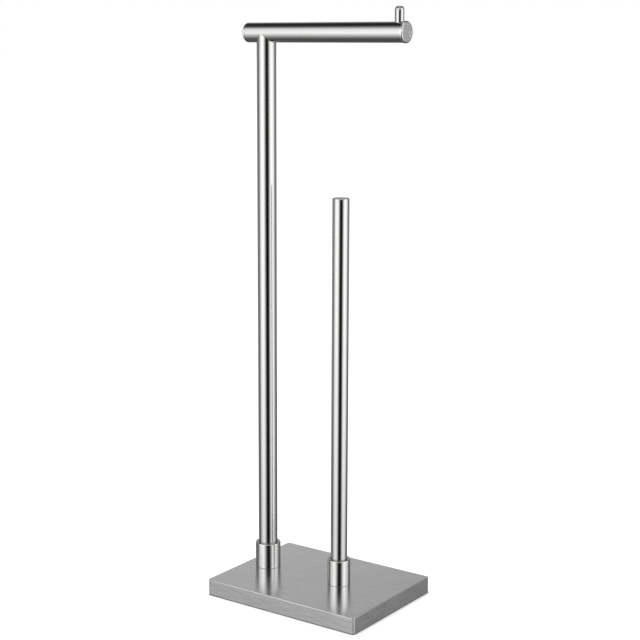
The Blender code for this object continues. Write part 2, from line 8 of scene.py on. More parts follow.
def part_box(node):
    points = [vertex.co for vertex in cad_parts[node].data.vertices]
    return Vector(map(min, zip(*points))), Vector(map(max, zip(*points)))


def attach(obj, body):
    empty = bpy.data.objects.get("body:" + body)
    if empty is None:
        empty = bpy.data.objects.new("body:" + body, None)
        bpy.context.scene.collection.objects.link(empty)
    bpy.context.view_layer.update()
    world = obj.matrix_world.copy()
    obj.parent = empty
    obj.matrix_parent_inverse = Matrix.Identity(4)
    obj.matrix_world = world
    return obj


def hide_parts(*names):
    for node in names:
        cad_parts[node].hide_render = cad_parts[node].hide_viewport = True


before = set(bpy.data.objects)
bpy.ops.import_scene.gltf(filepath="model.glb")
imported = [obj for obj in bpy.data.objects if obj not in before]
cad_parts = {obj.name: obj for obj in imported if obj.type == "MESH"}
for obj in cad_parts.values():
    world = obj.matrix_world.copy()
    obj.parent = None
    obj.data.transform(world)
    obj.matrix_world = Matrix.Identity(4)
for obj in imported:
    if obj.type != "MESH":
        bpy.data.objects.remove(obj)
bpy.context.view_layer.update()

# Visual model of a freestanding toilet paper holder, in metres, +Z up. Its places are read off the frame.
BODY = "root"

# The photograph's view
CAMERA_AZIMUTH = math.radians(36.068)
CAMERA_PITCH = math.radians(10.82)
CAMERA_PLACE = (0.94015, -1.3389, 0.6365)
CAMERA_LENS = 83.422
CAMERA_SHIFT = 0.04

# Walls, roundings and hidden sizes that a box can't tell
POLE_WALL = 0.0012
ARM_WALL = 0.0015
COPE_GAP = 0.00012
FIT_GAP = 0.0003
COVER_WALL = 0.0008
BASE_CORNER = 0.003
BASE_EDGE_DROP = 0.0015
BASE_EDGE_REACH = 0.0005
SOCKET_FLOOR = 0.005
SOCKET_RIM_ROUNDING = 0.0009
SOCKET_MOUTH_ROUNDING = 0.0006
SOCKET_FOOT_ROUNDING = 0.0004
BOLT_HOLE_RADIUS = 0.0033
TUBE_END_ROUNDING = 0.0003
SEAM_ROUNDING = 0.00006
CAP_HEAD_HEIGHT = 0.003
CAP_ROUNDING = 0.001
FLANGE_THICKNESS = 0.003
FLANGE_FACE_ROUNDING = 0.0018
FLANGE_BACK_ROUNDING = 0.0001
CENTRE_HOLE_RADIUS = 0.0006
CENTRE_HOLE_DEPTH = 0.0012
REAR_HEAD_HEIGHT = 0.003
REAR_CAP_ROUNDING = 0.0015
PIN_SINK = 0.006
PIN_CROWN = 0.0003
PIN_ROUNDING = 0.0036
PIN_HOLE_GAP = 0.00006
PIN_SHANK_RADIUS = 0.003
PIN_SHANK_CHAMFER = 0.0005
STUD_HOLE_RADIUS = 0.0053
GRUB_TIP_RADIUS = 0.001
GRUB_EDGE_ROUNDING = 0.0002
GRUB_KEY_SIZE = 0.0025
GRUB_KEY_DEPTH = 0.002
GRUB_THREAD_PITCH = 0.0008
GRUB_THREAD_DEPTH = 0.0003

# Cap screws under the plate
SCREW_RADIUS = 0.003
SCREW_HEAD_HEIGHT = 0.006
SCREW_CHAMFER = 0.0005
SCREW_KEY_SIZE = 0.005
SCREW_KEY_DEPTH = 0.003
SCREW_THREAD_PITCH = 0.001
SCREW_THREAD_DEPTH = 0.0004
KNURL_COUNT = 48
KNURL_DEPTH = 0.00018

# Rings left by the lathe on a cap's face, and the wider ones where the tool dwelt
TOOL_RING_PITCH = 0.0031
FACE_RING_PITCH = 0.0006
FACE_RING_DEPTH = 0.000012
STEPS_PER_FACE_RING = 6

# Non-slip pad: a lip under the cover's rim, and a raised middle inside it
PAD_LIP_HEIGHT = 0.0006
PAD_LIP_WIDTH = 0.0009
PAD_BORDER = 0.0022
PAD_SLOPE = 0.0001
PAD_PIP_HEIGHT = 0.0003
PAD_PIP_RADIUS = 0.0011
PAD_PIP_PITCH = 0.0046
PAD_PIP_MARGIN = 0.004
PAD_PIP_STAGGER = 0.5
PAD_PIP_TIP_SHARE = 0.7
PAD_HOLE_RADIUS = 0.009
PAD_CORNER = 0.0027

# How finely round things are made. HOLD is how close to an edge the extra points lie that keep its shading
# true, MERGE how close two points count as one, and OVERRUN how far a cutter passes through. A face larger
# than FLAT_AREA, in square metres, is one of a plate's flat sides.
ROUND_SIDES = 160
SMALL_SIDES = 96
HOLE_SIDES = 64
PIP_SIDES = 10
HEX_SIDES = 6
FILLET_STEPS = 8
CORNER_STEPS = 14
HOLD = 0.00015
MERGE = 0.0000005
OVERRUN = 0.002
FLAT_AREA = 0.001
SHARP_ANGLE = math.radians(28)

# The studio: a white room in which metal also sees dark flags and a ceiling. Bearings are in degrees away
# from the middle of the front flag, elevations in degrees above the horizon, and each comes with its level.
# High up, the side flags leave more light opposite the camera, which is what the plate mirrors. At a
# mirror's first bounce the front flag is lower, and the high walls in front are dimmer, than further on.
ROOM_AZIMUTH = CAMERA_AZIMUTH + math.radians(4)
FRONT_FLAG = (
    (0, 0.0), (9, 0.0), (14, 0.05), (20, 0.17), (26, 0.36), (31, 0.57), (41, 0.85), (50, 1.0), (180, 1.0),
)
SIDE_FLAGS = (
    (0, 1.0), (50, 1.0), (62, 0.95), (75, 0.86), (83, 0.74), (90, 0.55), (97, 0.33),
    (107, 0.18), (118, 0.15), (134, 0.17), (150, 0.2), (165, 0.25), (180, 0.3),
)
HIGH_FLAGS = (
    (0, 1.22), (56, 1.22), (68, 0.95), (78, 0.8), (88, 0.8), (98, 0.48), (110, 0.17), (145, 0.17),
    (160, 0.33), (170, 0.6), (180, 0.7),
)
LOW_FLAGS = 0.8
WALLS = (
    (-90, 0.04), (-66, 0.09), (-54, 0.14), (-46, 0.24), (-39, 0.4), (-30, 0.6), (-20, 0.68), (-15, 0.88),
    (-10, 0.98), (-4, 1.0), (20, 0.94), (26, 0.84), (32, 0.7), (40, 0.42), (50, 0.22), (62, 0.17),
    (69, 0.06), (90, 0.03),
)
FLAG_TOP = ((-90, 0.0), (42, 0.0), (60, 1.0), (90, 1.0))
NEAR_FLAG_TOP = ((-90, 0.0), (2, 0.0), (13, 1.0), (90, 1.0))
NEAR_DIMMING = ((0, 0.42), (50, 0.42), (66, 1.0), (180, 1.0))
CEILING = ((-90, 0.0), (60, 0.0), (72, 1.0), (90, 1.0))
CEILING_LEVEL = 0.5
LOW = ((-90, 1.0), (-48, 1.0), (-30, 0.0), (90, 0.0))
HIGH = ((-90, 0.0), (5, 0.0), (22, 1.0), (90, 1.0))
ROOM_TILT = 0.45
ROOM_LEVEL = 1.36
SOFT_LEVEL = 0.8
# Glossy Depth is 1 at a mirror's first bounce
FIRST_BOUNCE_END = 1.5
FLOOR_REACH = 40.0
FLOOR_COLOUR = 0.62
FLOOR_GLOW = 0.62
# How near the holder, in metres, the floor's glow is darkened by ambient occlusion: painted contact shade
CONTACT_SHADE_REACH = 0.004
CONTACT_SHADE_SAMPLES = 8
LAMP_SIZE = 1.6
LAMP_POWER = 34.0
LAMP_PLACE = (-1.1, -1.4, 2.3)

# Colours of the finishes. RIM is an arm cap's side. The cover's top edge (the arris) and its upright corners
# get a lighter colour than the plate: painted highlights.
POLE_COLOUR = (0.76, 0.76, 0.755)
SOCKET_COLOUR = (0.95, 0.945, 0.93)
CAP_COLOUR = (0.95, 0.95, 0.95)
RIM_COLOUR = (0.94, 0.94, 0.935)
PIN_COLOUR = (0.75, 0.75, 0.745)
PLATE_COLOUR = (0.6, 0.6, 0.606)
ARRIS_HIGHLIGHT_COLOUR = (0.83, 0.83, 0.83)
CORNER_HIGHLIGHT_COLOUR = (0.9, 0.9, 0.9)
ZINC_COLOUR = (0.55, 0.56, 0.58)
PAINT_COLOUR = (0.06, 0.06, 0.07)
RUBBER_COLOUR = (0.03, 0.03, 0.03)
# What a socket's ends keep of its colour. The rest is taken off as painted shade on the collar's rim.
SOCKET_END_SHADE_SHARE = 0.4

# The darkest and the lightest share of its colour that a finish varies between
POLISHED_SPREAD = (0.95, 1.04)
END_SPREAD = (0.9, 1.1)
FACED_SPREAD = (0.7, 1.1)
PLATE_SPREAD = (0.78, 1.22)
EDGE_SPREAD = (0.75, 1.1)
ZINC_SPREAD = (0.8, 1.15)
PAINT_SPREAD = (0.7, 1.3)
RUBBER_SPREAD = (0.6, 1.5)

# How rough the steel is
POLE_ROUGHNESS = 0.12
ARM_ROUGHNESS = 0.13
SOCKET_ROUGHNESS = 0.06
PIN_ROUGHNESS = 0.035
CAP_ROUGHNESS = 0.43
RIM_ROUGHNESS = 0.16
PLATE_ROUGHNESS = 0.205
PLATE_SIDE_ROUGHNESS = 0.34
PLATE_END_ROUGHNESS = 0.46
ARRIS_ROUGHNESS = 0.34
CORNER_ROUGHNESS = 0.6

# How fine the noise in the finishes is, as its scale for a metre: (along the grain, across it) for the
# plate, and the radius of the ring that it is read on for a lap round a turned piece
LATHE_MARKS = 5200
LAP_RADIUS = 1.6
METAL_CLOUDS = 26.0
PLATE_GRAIN = (70, 2600)
PLATE_STREAKS = (40, 520)
PLATE_CLOUDS = 17.0
ZINC_CLOUDS = 420.0
ZINC_FLECKS = 2600.0
PAINT_PEEL = 900.0
PAINT_CLOUDS = 40.0
RUBBER_SKIN = 3000.0
RUBBER_CLOUDS = 60.0

# Small relief, as a bump's strength and its distance in metres
FINE_BUMP = (0.12, 0.00001)
GRAIN_BUMP = (0.2, 0.00002)
PAINT_BUMP = (0.3, 0.00006)
RUBBER_BUMP = (0.4, 0.00004)

# How squarely a face looks along an axis to be an end, a cap's face, the plate's top, or flat. A face that
# isn't flat belongs to the arris from ARRIS_FACING on, and otherwise to a corner.
END_FACING = 0.75
CAP_FACING = 0.98
TOP_FACING = 0.9
FLAT_FACING = 0.997
ARRIS_FACING = 0.02


class Wire:
    """A number on its way through a node tree. A sum written on it adds Math nodes."""

    def __init__(self, sheet, socket):
        self.sheet = sheet
        self.socket = socket

    def __add__(self, other):
        return self.sheet.maths("ADD", self, other)

    def __radd__(self, other):
        return self.sheet.maths("ADD", other, self)

    def __sub__(self, other):
        return self.sheet.maths("SUBTRACT", self, other)

    def __rsub__(self, other):
        return self.sheet.maths("SUBTRACT", other, self)

    def __mul__(self, other):
        return self.sheet.maths("MULTIPLY", self, other)

    def __rmul__(self, other):
        return self.sheet.maths("MULTIPLY", other, self)

    def __truediv__(self, other):
        return self.sheet.maths("DIVIDE", self, other)

    def __rtruediv__(self, other):
        return self.sheet.maths("DIVIDE", other, self)

    def __lt__(self, other):
        return self.sheet.maths("LESS_THAN", self, other)

    def __gt__(self, other):
        return self.sheet.maths("GREATER_THAN", self, other)

    def __abs__(self):
        return self.sheet.maths("ABSOLUTE", self)


class Sheet:
    """A node tree, written as sums and calls."""

    def __init__(self, tree):
        self.tree = tree

    def node(self, kind, settings=None, sockets=None):
        """Adds one node: its settings first, then the values or links of its sockets."""
        made = self.tree.nodes.new(kind)
        for name, value in (settings or {}).items():
            if name == "stops":
                self.set_stops(made.color_ramp, value)
            else:
                setattr(made, name, value)
        for name, value in (sockets or {}).items():
            self.plug(value, made.inputs[name])
        return made

    def plug(self, value, socket):
        if isinstance(value, Wire):
            value = value.socket
        if isinstance(value, bpy.types.NodeSocket):
            self.tree.links.new(value, socket)
        else:
            socket.default_value = value

    def set_stops(self, ramp, stops):
        """Each stop is (place, level)."""
        ramp.interpolation = "EASE"
        while len(ramp.elements) < len(stops):
            ramp.elements.new(1)
        for element, (place, level) in zip(ramp.elements, stops):
            element.position = place
            element.color = (level, level, level, 1)

    def maths(self, operation, *values):
        made = self.node("ShaderNodeMath", {"operation": operation}, dict(enumerate(values)))
        return Wire(self, made.outputs[0])

    def vector(self, operation, *values):
        made = self.node("ShaderNodeVectorMath", {"operation": operation}, dict(enumerate(values)))
        return made.outputs[0]

    def split(self, vector):
        made = self.node("ShaderNodeSeparateXYZ", None, {0: vector})
        return [Wire(self, socket) for socket in made.outputs]

    def join(self, x, y, z):
        return self.node("ShaderNodeCombineXYZ", None, {0: x, 1: y, 2: z}).outputs[0]

    def noise(self, vector, scale, detail=2.0):
        made = self.node("ShaderNodeTexNoise", None, {"Vector": vector, "Scale": scale, "Detail": detail})
        return Wire(self, made.outputs[0])

    def ramp(self, value, stops):
        made = self.node("ShaderNodeValToRGB", {"stops": stops}, {0: value})
        return Wire(self, made.outputs[0])

    def tinted(self, tone, colour, spread):
        """A colour that follows a tone from a darker share of itself to a lighter one."""
        dark, light = (shade(colour, share) for share in spread)
        return self.mix(tone, (*dark, 1), (*light, 1))

    def mix(self, factor, first, second):
        settings = {"data_type": "RGBA"}
        return self.node("ShaderNodeMix", settings, {0: factor, 6: first, 7: second}).outputs[2]


def shade(colour, share):
    """A colour made darker or lighter."""
    return tuple(min(channel * share, 1) for channel in colour)


class Finish:
    """A material whose colour, roughness and small relief vary over the surface."""

    def __init__(self, name, metallic):
        self.material = bpy.data.materials.new(name)
        self.material.use_nodes = True
        self.sheet = Sheet(self.material.node_tree)
        self.shader = self.material.node_tree.nodes["Principled BSDF"]
        self.shader.inputs["Metallic"].default_value = metallic
        coordinates = self.sheet.node("ShaderNodeTexCoord")
        self.place = coordinates.outputs["Object"]

    def set(self, colour, roughness, height, bump):
        """Plugs in what varies, and gives the finished material."""
        sheet = self.sheet
        strength, distance = bump
        sheet.plug(colour, self.shader.inputs["Base Color"])
        sheet.plug(roughness, self.shader.inputs["Roughness"])
        sockets = {"Strength": strength, "Distance": distance, "Height": height}
        sheet.plug(sheet.node("ShaderNodeBump", None, sockets).outputs[0], self.shader.inputs["Normal"])
        return self.material


def around(finish, centre, axis):
    """How far out from a turned piece's axis a point is, and a vector whose noise makes lathe marks."""
    sheet = finish.sheet
    x, y, z = sheet.split(sheet.vector("SUBTRACT", finish.place, centre))
    along, first, second = (z, x, y) if axis == "Z" else (x, y, z)
    above_zero = 0.00001
    radius = sheet.maths("SQRT", first * first + second * second) + above_zero
    rings = sheet.join(
        first / radius * LAP_RADIUS, second / radius * LAP_RADIUS, (along + radius) * LATHE_MARKS
    )
    return radius, rings


def half_wave(sheet, turns):
    """A smooth rise and fall between 0 and 1, once for each turn."""
    return 0.5 - 0.5 * sheet.maths("COSINE", turns * math.tau)


def ground_steel(name, centre, axis, colour, roughness, end_shade_share=1.0):
    """Tube and turned steel, ground and polished round its axis, its ends darkened with painted shade where
    that is asked for.
    """
    finish = Finish(name, 1.0)
    sheet = finish.sheet
    _, rings = around(finish, centre, axis)
    facing = sheet.split(sheet.node("ShaderNodeNewGeometry").outputs["Normal"])
    end = abs(facing["XYZ".index(axis)]) > END_FACING
    fine = sheet.noise(rings, 1.0, 3.0)
    cloud = sheet.noise(finish.place, METAL_CLOUDS, 3.0)
    tone = fine * 0.55 + cloud * 0.45
    level = roughness + (fine - 0.5) * 0.05 + (cloud - 0.5) * 0.04
    side = sheet.tinted(tone, colour, POLISHED_SPREAD)
    # Below a share of 1, the ends' colour is darkened: painted shade.
    shaded_end = sheet.tinted(tone, colour, [share * end_shade_share for share in END_SPREAD])
    return finish.set(sheet.mix(end, side, shaded_end), level, fine, FINE_BUMP)


def turned_steel(name, centre, axis, colour, side_colour, side_roughness):
    """A faced cap: rings where the tool dwelt, wedges of lighter and darker tone round its centre as a
    painted sheen, and a polished side.
    """
    finish = Finish(name, 1.0)
    sheet = finish.sheet
    radius, rings = around(finish, centre, axis)
    facing = sheet.split(sheet.node("ShaderNodeNewGeometry").outputs["Normal"])
    face = abs(facing["XYZ".index(axis)]) > CAP_FACING
    fine = sheet.noise(rings, 1.0, 2.0)
    cloud = sheet.noise(finish.place, METAL_CLOUDS, 3.0)
    band = half_wave(sheet, radius / TOOL_RING_PITCH)
    # The sweep is a painted sheen: wedges of tone round the axis that stand for a faced surface's highlight.
    sweep = sheet.noise(sheet.vector("MULTIPLY", rings, (1.0, 1.0, 0.0)), 1.0, 1.0)
    tone = 0.5 + (fine - 0.5) * 0.9 + (band - 0.5) * 0.4 + (sweep - 0.5) * 1.6
    faced = sheet.tinted(tone, colour, FACED_SPREAD)
    sided = sheet.tinted(fine * 0.5 + cloud * 0.5, side_colour, POLISHED_SPREAD)
    tint = sheet.mix(face, sided, faced)
    rough = CAP_ROUGHNESS + (fine - 0.5) * 0.1 + (band - 0.5) * 0.1
    level = face * rough + (1 - face) * (side_roughness + (fine - 0.5) * 0.05)
    return finish.set(tint, level, fine, GRAIN_BUMP)


def plate_steel(name, colour, roughness):
    """Satin sheet with a straight grain along the plate, and across it on the short ends. The sides carry
    painted shade and the edges painted highlights.
    """
    finish = Finish(name, 1.0)
    sheet = finish.sheet
    x, y, z = sheet.split(finish.place)
    normal = sheet.node("ShaderNodeNewGeometry").outputs["Normal"]
    facing = [abs(part) for part in sheet.split(normal)]
    top = facing[2] > TOP_FACING
    end = facing[0] > END_FACING
    squarest = sheet.maths("MAXIMUM", sheet.maths("MAXIMUM", facing[0], facing[1]), facing[2])
    bent = squarest < FLAT_FACING
    arris = bent * (facing[2] > ARRIS_FACING)
    corner = bent - arris
    along = x * (1 - end) + y * end
    across = y * (1 - end) + x * end
    (long_grain, cross_grain), (long_streak, cross_streak) = PLATE_GRAIN, PLATE_STREAKS
    grain = sheet.noise(sheet.join(along * long_grain, across * cross_grain, z * cross_grain), 1.0, 3.0)
    streak = sheet.noise(sheet.join(along * long_streak, across * cross_streak, z * cross_streak), 1.0, 2.0)
    cloud = sheet.noise(finish.place, PLATE_CLOUDS, 2.0)
    strength = 1 - top * 0.35
    lines = (grain - 0.5 + (streak - 0.5) * 1.4) * strength
    # The sides are made darker than the top by a fixed share of tone: painted shade.
    tone = 0.5 + lines + (cloud - 0.5) * 0.3 - (1 - top) * 0.38
    sheet_colour = sheet.tinted(tone, colour, PLATE_SPREAD)
    # The top edge and the upright corners take a lighter colour than the plate: painted highlights.
    arris_highlight = sheet.tinted(tone, ARRIS_HIGHLIGHT_COLOUR, EDGE_SPREAD)
    corner_highlight = sheet.tinted(tone, CORNER_HIGHLIGHT_COLOUR, EDGE_SPREAD)
    tint = sheet.mix(corner, sheet.mix(arris, sheet_colour, arris_highlight), corner_highlight)
    side = top * roughness + end * PLATE_END_ROUGHNESS + (1 - top) * (1 - end) * PLATE_SIDE_ROUGHNESS
    rounded = arris * ARRIS_ROUGHNESS + corner * CORNER_ROUGHNESS
    level = side * (1 - bent) + rounded + (grain - 0.5) * 0.06 + (streak - 0.5) * 0.06
    return finish.set(tint, level, grain, GRAIN_BUMP)


def zinc_plate(name, colour):
    """Bright zinc, flecked and slightly clouded."""
    finish = Finish(name, 1.0)
    sheet = finish.sheet
    cloud = sheet.noise(finish.place, ZINC_CLOUDS, 4.0)
    fleck = sheet.noise(finish.place, ZINC_FLECKS, 2.0)
    tone = cloud * 0.7 + fleck * 0.3
    level = 0.34 + (cloud - 0.5) * 0.2
    return finish.set(sheet.tinted(tone, colour, ZINC_SPREAD), level, fleck, GRAIN_BUMP)


def primer(name, colour):
    """Matt paint with a light orange peel."""
    finish = Finish(name, 0.0)
    sheet = finish.sheet
    peel = sheet.noise(finish.place, PAINT_PEEL, 2.0)
    cloud = sheet.noise(finish.place, PAINT_CLOUDS, 3.0)
    tone = peel * 0.4 + cloud * 0.6
    return finish.set(sheet.tinted(tone, colour, PAINT_SPREAD), 0.5 + cloud * 0.12, peel, PAINT_BUMP)


def rubber(name, colour):
    """Moulded rubber with a fine skin."""
    finish = Finish(name, 0.0)
    sheet = finish.sheet
    skin = sheet.noise(finish.place, RUBBER_SKIN, 3.0)
    cloud = sheet.noise(finish.place, RUBBER_CLOUDS, 3.0)
    tone = skin * 0.5 + cloud * 0.5
    return finish.set(sheet.tinted(tone, colour, RUBBER_SPREAD), 0.74 + cloud * 0.14, skin, RUBBER_BUMP)


def softened(points, closed):
    """Rounds an outline's corners. Each point is (radius, height, rounding)."""
    result = []
    for place, (x, y, rounding) in enumerate(points):
        here = Vector((x, y))
        if not rounding or (not closed and place in (0, len(points) - 1)):
            result.append(here)
            continue
        before = (Vector(points[place - 1][:2]) - here).normalized()
        after = (Vector(points[(place + 1) % len(points)][:2]) - here).normalized()
        half = before.angle(after) / 2
        centre = here + (before + after).normalized() * rounding / math.sin(half)
        first = here + before * rounding / math.tan(half) - centre
        last = here + after * rounding / math.tan(half) - centre
        sweep = math.pi - 2 * half
        for step in range(FILLET_STEPS + 1):
            turn = sweep * step / FILLET_STEPS
            arc = first * math.sin(sweep - turn) + last * math.sin(turn)
            result.append(centre + arc / math.sin(sweep))
    if closed:
        result.append(result[0])
    return result


def held(points):
    """Adds a point close to both ends of each long stretch, so that its shading stays true."""
    result = [points[0]]
    for first, second in zip(points, points[1:]):
        length = (second - first).length
        if length > 4 * HOLD:
            step = (second - first) * HOLD / length
            result += [first + step, second - step]
        result.append(second)
    return result


def with_rows(points, start, end, pitch):
    """Divides the stretch from one height or radius to another, for a thread or for rings on a face."""
    result = [points[0]]
    for first, second in zip(points, points[1:]):
        length = (second - first).length
        inside = all(start <= value <= end for value in (first.y, second.y))
        count = max(1, round(length / pitch)) if inside else 1
        result += [first.lerp(second, step / count) for step in range(1, count + 1)]
    return result


LATHE_INPUTS = (
    ("Sides", "NodeSocketInt", ROUND_SIDES),
    ("Thread Pitch", "NodeSocketFloat", 1.0),
    ("Thread Depth", "NodeSocketFloat", 0.0),
    ("Thread Low", "NodeSocketFloat", 0.0),
    ("Thread High", "NodeSocketFloat", 0.0),
    ("Knurl Count", "NodeSocketInt", 1),
    ("Knurl Depth", "NodeSocketFloat", 0.0),
    ("Knurl Low", "NodeSocketFloat", 0.0),
    ("Knurl High", "NodeSocketFloat", 0.0),
    ("Ring Pitch", "NodeSocketFloat", 1.0),
    ("Ring Depth", "NodeSocketFloat", 0.0),
    ("Ring Reach", "NodeSocketFloat", 0.0),
    ("Ring Face", "NodeSocketFloat", 0.0),
    ("Material", "NodeSocketMaterial", None),
)


def new_tree(name, inputs):
    """A geometry tree with one geometry in, one out and named inputs for its sizes."""
    tree = bpy.data.node_groups.new(name, "GeometryNodeTree")
    tree.is_modifier = True
    tree.interface.new_socket(name="Geometry", in_out="INPUT", socket_type="NodeSocketGeometry")
    tree.interface.new_socket(name="Geometry", in_out="OUTPUT", socket_type="NodeSocketGeometry")
    for label, kind, start in inputs:
        socket = tree.interface.new_socket(name=label, in_out="INPUT", socket_type=kind)
        if start is not None:
            socket.default_value = start
    sheet = Sheet(tree)
    given = sheet.node("NodeGroupInput").outputs
    return tree, sheet, given


def end_tree(sheet, geometry, material):
    """Every tree ends in real faces with their material on them."""
    real = sheet.node("GeometryNodeRealizeInstances", None, {0: geometry}).outputs[0]
    painted = sheet.node("GeometryNodeSetMaterial", None, {"Geometry": real, "Material": material})
    sheet.node("NodeGroupOutput", None, {0: painted.outputs[0]})


def grid_place(sheet, rows):
    """Which row and which column of a grid a point is in. Its points run up one column after another."""
    index = Wire(sheet, sheet.node("GeometryNodeInputIndex").outputs[0])
    half_a_step = 0.5
    column = sheet.maths("FLOOR", (index + half_a_step) / rows)
    return index - column * rows, column


def lathe_tree():
    """Turns the points of a half outline about Z, with a thread, a knurl and rings where asked for."""
    tree, sheet, given = new_tree("Lathe", LATHE_INPUTS)
    value = {label: Wire(sheet, given[label]) for label, _, _ in LATHE_INPUTS}
    outline = given["Geometry"]
    size = sheet.node("GeometryNodeAttributeDomainSize", {"component": "MESH"}, {0: outline})
    rows = Wire(sheet, size.outputs["Point Count"])
    grid = sheet.node("GeometryNodeMeshGrid", None, {"Vertices X": value["Sides"] + 1, "Vertices Y": rows})
    row, column = grid_place(sheet, rows)
    point = sheet.node("GeometryNodeInputPosition").outputs[0]
    settings = {"data_type": "FLOAT_VECTOR", "domain": "POINT"}
    sockets = {"Geometry": outline, "Value": point, "Index": row}
    sample = sheet.node("GeometryNodeSampleIndex", settings, sockets)
    radius, _, height = sheet.split(sample.outputs[0])
    lap = column / value["Sides"]
    ridge = abs(sheet.maths("FRACT", height / value["Thread Pitch"] - lap) * 2 - 1)
    threaded = (height > value["Thread Low"]) * (height < value["Thread High"])
    notch = abs(sheet.maths("FRACT", lap * value["Knurl Count"]) * 2 - 1)
    knurled = (height > value["Knurl Low"]) * (height < value["Knurl High"])
    inward = ridge * value["Thread Depth"] * threaded + notch * value["Knurl Depth"] * knurled
    wave = half_wave(sheet, radius / value["Ring Pitch"])
    faced = (abs(height - value["Ring Face"]) < MERGE) * (radius < value["Ring Reach"])
    sunk = wave * value["Ring Depth"] * faced
    angle = lap * math.tau
    reach = radius - inward
    place = sheet.join(
        reach * sheet.maths("COSINE", angle), reach * sheet.maths("SINE", angle), height - sunk
    )
    sockets = {"Geometry": grid.outputs["Mesh"], "Position": place}
    moved = sheet.node("GeometryNodeSetPosition", None, sockets).outputs[0]
    closed = sheet.node("GeometryNodeMergeByDistance", None, {"Geometry": moved, "Distance": MERGE})
    smooth = sheet.node("GeometryNodeSetShadeSmooth", None, {"Geometry": closed.outputs[0]})
    end_tree(sheet, smooth.outputs[0], given["Material"])
    return tree


PIP_INPUTS = (
    ("Length", "NodeSocketFloat", 0.2),
    ("Width", "NodeSocketFloat", 0.15),
    ("Pitch", "NodeSocketFloat", PAD_PIP_PITCH),
    ("Radius", "NodeSocketFloat", PAD_PIP_RADIUS),
    ("Height", "NodeSocketFloat", PAD_PIP_HEIGHT),
    ("First Hole", "NodeSocketFloat", 0.0),
    ("Second Hole", "NodeSocketFloat", 0.0),
    ("Hole Room", "NodeSocketFloat", PAD_HOLE_RADIUS),
    ("Material", "NodeSocketMaterial", None),
)


def pip_tree():
    """Moulded pips under the pad, in staggered rows, clear of the key holes."""
    tree, sheet, given = new_tree("Pips", PIP_INPUTS)
    value = {label: Wire(sheet, given[label]) for label, _, _ in PIP_INPUTS}
    columns = sheet.maths("FLOOR", value["Length"] / value["Pitch"])
    lines = sheet.maths("FLOOR", value["Width"] / value["Pitch"])
    spread = {
        "Size X": (columns - 1) * value["Pitch"],
        "Size Y": (lines - 1) * value["Pitch"],
        "Vertices X": columns,
        "Vertices Y": lines,
    }
    grid = sheet.node("GeometryNodeMeshGrid", None, spread).outputs["Mesh"]
    row, _ = grid_place(sheet, lines)
    odd = sheet.maths("FLOORED_MODULO", row, 2.0)
    shift = (odd - 0.5) * value["Pitch"] * PAD_PIP_STAGGER
    offset = sheet.join(shift, 0.0, value["Height"])
    staggered = sheet.node("GeometryNodeSetPosition", None, {"Geometry": grid, "Offset": offset})
    x, y, _ = sheet.split(sheet.node("GeometryNodeInputPosition").outputs[0])
    first = sheet.maths("SQRT", (x - value["First Hole"]) * (x - value["First Hole"]) + y * y)
    second = sheet.maths("SQRT", (x - value["Second Hole"]) * (x - value["Second Hole"]) + y * y)
    over_hole = (sheet.maths("MINIMUM", first, second) < value["Hole Room"]).socket
    kept = sheet.node(
        "GeometryNodeDeleteGeometry",
        {"domain": "POINT"},
        {"Geometry": staggered.outputs[0], "Selection": over_hole},
    )
    sizes = {
        "Vertices": PIP_SIDES,
        "Radius Top": value["Radius"],
        "Radius Bottom": value["Radius"] * PAD_PIP_TIP_SHARE,
        "Depth": value["Height"],
    }
    pip = sheet.node("GeometryNodeMeshCone", None, sizes).outputs["Mesh"]
    drop = sheet.join(0.0, 0.0, 0 - value["Height"])
    down = sheet.node("GeometryNodeTransform", None, {"Geometry": pip, "Translation": drop})
    sockets = {"Points": kept.outputs[0], "Instance": down.outputs[0]}
    spread_out = sheet.node("GeometryNodeInstanceOnPoints", None, sockets)
    end_tree(sheet, spread_out.outputs[0], given["Material"])
    return tree


def mesh_from(name, bm):
    mesh = bpy.data.meshes.new(name)
    bm.to_mesh(mesh)
    bm.free()
    return mesh


def new_object(name, mesh):
    obj = bpy.data.objects.new(name, mesh)
    bpy.context.scene.collection.objects.link(obj)
    return obj


def settle(obj):
    """Makes what the modifiers give the object's own plain mesh."""
    bpy.context.view_layer.update()
    evaluated = obj.evaluated_get(bpy.context.evaluated_depsgraph_get())
    mesh = bpy.data.meshes.new_from_object(evaluated)
    obj.modifiers.clear()
    obj.data = mesh
    return obj


def grow(obj, tree, values):
    """Runs a geometry tree on an object, its inputs set by name."""
    modifier = obj.modifiers.new(tree.name, "NODES")
    modifier.node_group = tree
    for item in tree.interface.items_tree:
        if item.in_out == "INPUT" and item.name in values:
            modifier[item.identifier] = values[item.name]
    return settle(obj)


def carve(obj, *cutters):
    """Cuts holes, then throws the cutters away."""
    for cutter in cutters:
        boolean = obj.modifiers.new("Hole", "BOOLEAN")
        boolean.operation = "DIFFERENCE"
        boolean.object = cutter
    settle(obj)
    for cutter in cutters:
        bpy.data.objects.remove(cutter)
    return obj


def drill(radius, length, place, sides=HOLE_SIDES):
    """A cutter that starts at its place and runs along its own +Z."""
    bm = bmesh.new()
    bmesh.ops.create_cone(
        bm, cap_ends=True, segments=sides, radius1=radius, radius2=radius, depth=length,
        matrix=place @ Matrix.Translation((0, 0, length / 2)),
    )
    return new_object("drill", mesh_from("drill", bm))


